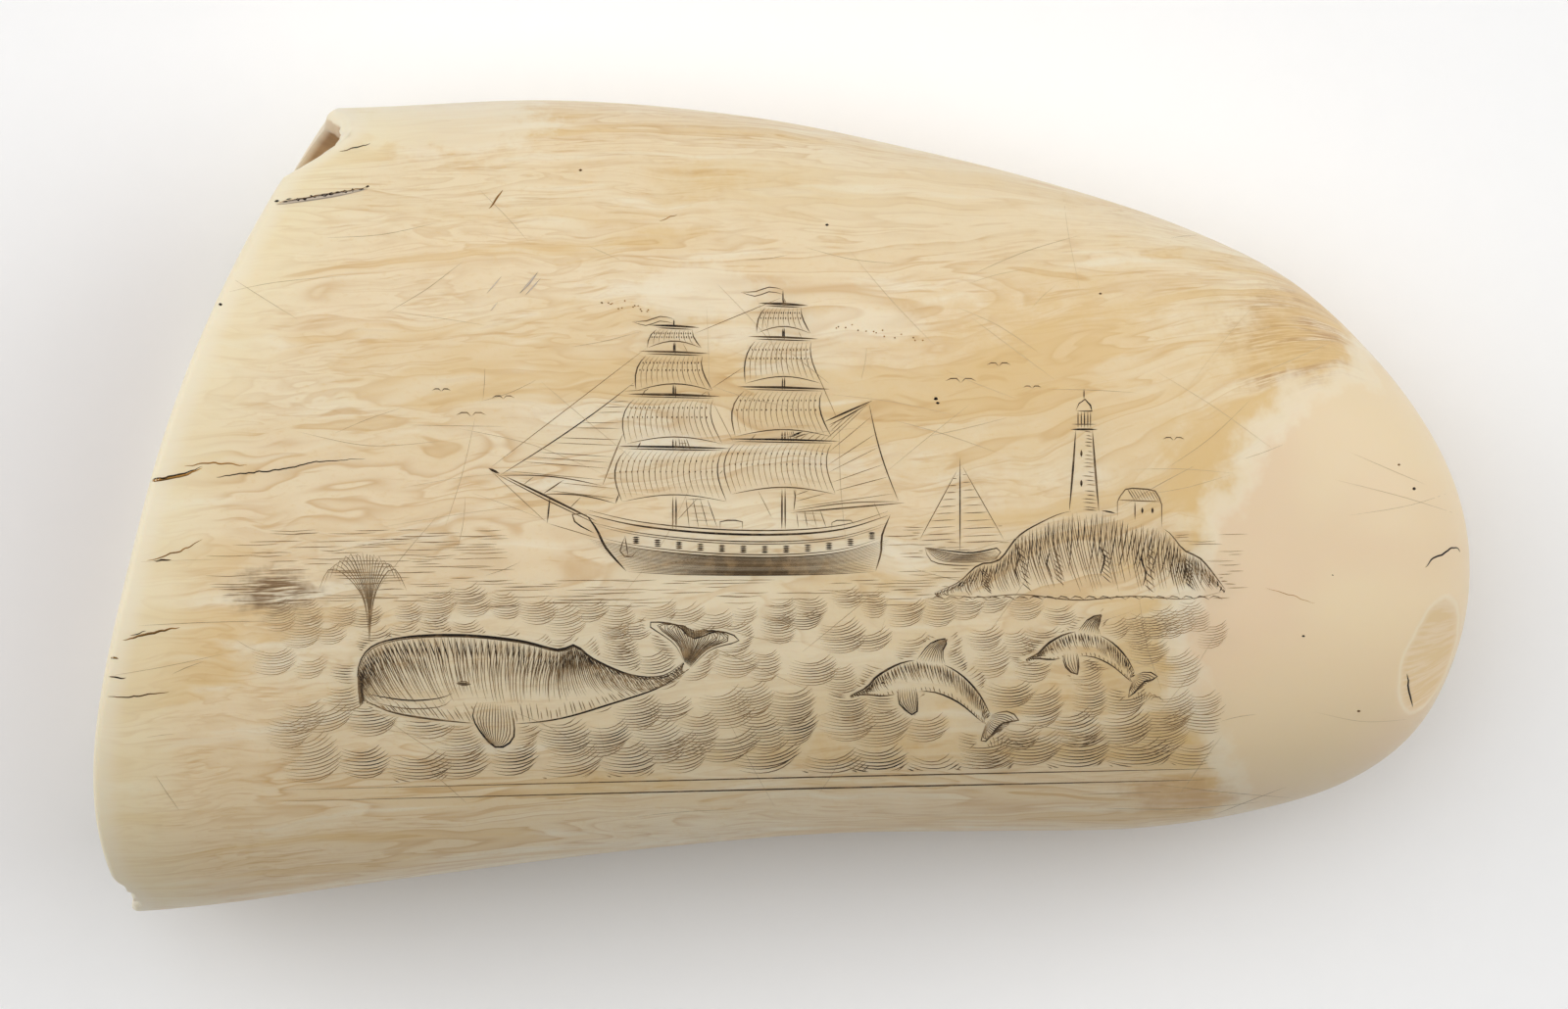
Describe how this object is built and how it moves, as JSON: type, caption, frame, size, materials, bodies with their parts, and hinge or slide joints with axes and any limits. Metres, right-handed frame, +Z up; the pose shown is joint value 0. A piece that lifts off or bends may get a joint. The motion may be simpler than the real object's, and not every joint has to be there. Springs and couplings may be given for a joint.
{
  "type": "scrimshaw whale tooth",
  "caption": "Polished sperm whale tooth lying on its broad side, with a blunt curved tip, an open pulp cavity at the sawn root and an engraved, pigment-filled seafaring scene on its upper face.",
  "frame": {"origin": "on the floor, under the middle of the tooth's bounding box as it lies on its broad side", "axes": "+X from the sawn root to the blunt tip, +Y to the convex edge, +Z up out of the engraved broad side"},
  "size_m": [0.15, 0.0888, 0.0503],
  "materials": {
    "ivory": "satin",
    "ink": "matte"
  },
  "bodies": {
    "root": {"tooth": "ivory"}
  },
  "joints": []
}
